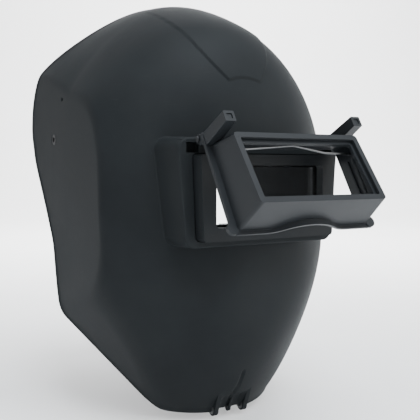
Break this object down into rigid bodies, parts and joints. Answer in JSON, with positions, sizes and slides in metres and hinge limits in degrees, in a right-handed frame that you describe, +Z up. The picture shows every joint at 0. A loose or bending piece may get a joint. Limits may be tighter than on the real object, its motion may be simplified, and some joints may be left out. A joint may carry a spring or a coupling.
{
  "type": "welding helmet",
  "caption": "Full-face welding helmet: moulded shell with a window housing, a flip-up filter front on top hinges and an adjustable ratchet headgear.",
  "frame": {"origin": "middle of the headgear pivot axis, on the plane of symmetry", "axes": "+Z up, the helmet faces -Y, +X is the wearer's left"},
  "size_m": [0.2514, 0.3623, 0.3757],
  "materials": {
    "shell_plastic": "matt, fine moulded grain",
    "flip_plastic": "satin",
    "gear_plastic": "satin",
    "strap_plastic": "satin",
    "clear_lens": "clear",
    "rubber_seal": "matt",
    "steel": "satin",
    "pad_cloth": "terry cloth"
  },
  "bodies": {
    "headgear": {"headband": "gear_plastic", "brow_pad": "pad_cloth", "nape_plate": "gear_plastic", "nape_pad": "pad_cloth", "crown_strap_left": "strap_plastic", "crown_strap_right": "strap_plastic", "strap_rivets": "steel", "crown_peg": "gear_plastic", "pivot_arm_left": "gear_plastic", "pivot_arm_right": "gear_plastic", "arm_rivets": "steel", "pivot_stud_left": "gear_plastic", "pivot_stud_right": "gear_plastic", "friction_washers": "rubber_seal", "ratchet_housing": "gear_plastic", "ratchet_cover": "gear_plastic", "cover_screws": "steel", "pawl_spring": "steel"},
    "shell_body": {"shell": "shell_plastic", "window_frame": "shell_plastic", "cover_lens": "clear_lens", "lens_gasket": "rubber_seal", "lens_retainer": "flip_plastic", "frame_screws": "steel", "hinge_pin_left": "steel", "hinge_pin_right": "steel", "chin_eyelets": "steel"},
    "flip_front": {"flip_housing": "flip_plastic", "filter_frame": "flip_plastic", "lens_spring": "steel"},
    "knob_body": {"pinion": "gear_plastic", "knob": "gear_plastic"},
    "left_tail": {"rack_left": "strap_plastic"},
    "right_tail": {"rack_right": "strap_plastic"}
  },
  "joints": [
    {"name": "shell_tilt", "type": "hinge", "parent": "headgear", "child": "shell_body", "pos_m": [0, 0, 0], "axis": [-1, 0, 0], "range_deg": [0, 70]},
    {"name": "flip_lift", "type": "hinge", "parent": "shell_body", "child": "flip_front", "pos_m": [0, -0.1685, -0.004], "axis": [-1, 0, 0], "range_deg": [-31, 64]},
    {"name": "knob_turn", "type": "hinge", "parent": "headgear", "child": "knob_body", "pos_m": [0, 0.008, 0.006], "axis": [0, 0.9877, -0.1564], "range_deg": [-45, 45]},
    {"name": "left_tail_slide", "type": "slide", "parent": "headgear", "child": "left_tail", "axis": [1, 0, 0], "range_m": [-0.00475, 0.00475]},
    {"name": "right_tail_slide", "type": "slide", "parent": "headgear", "child": "right_tail", "axis": [-1, 0, 0], "range_m": [-0.00475, 0.00475]}
  ],
  "couplings": [
    {"joint": "left_tail_slide", "follows": "knob_turn", "m_per_rad": 0.006},
    {"joint": "right_tail_slide", "follows": "knob_turn", "m_per_rad": 0.006}
  ]
}
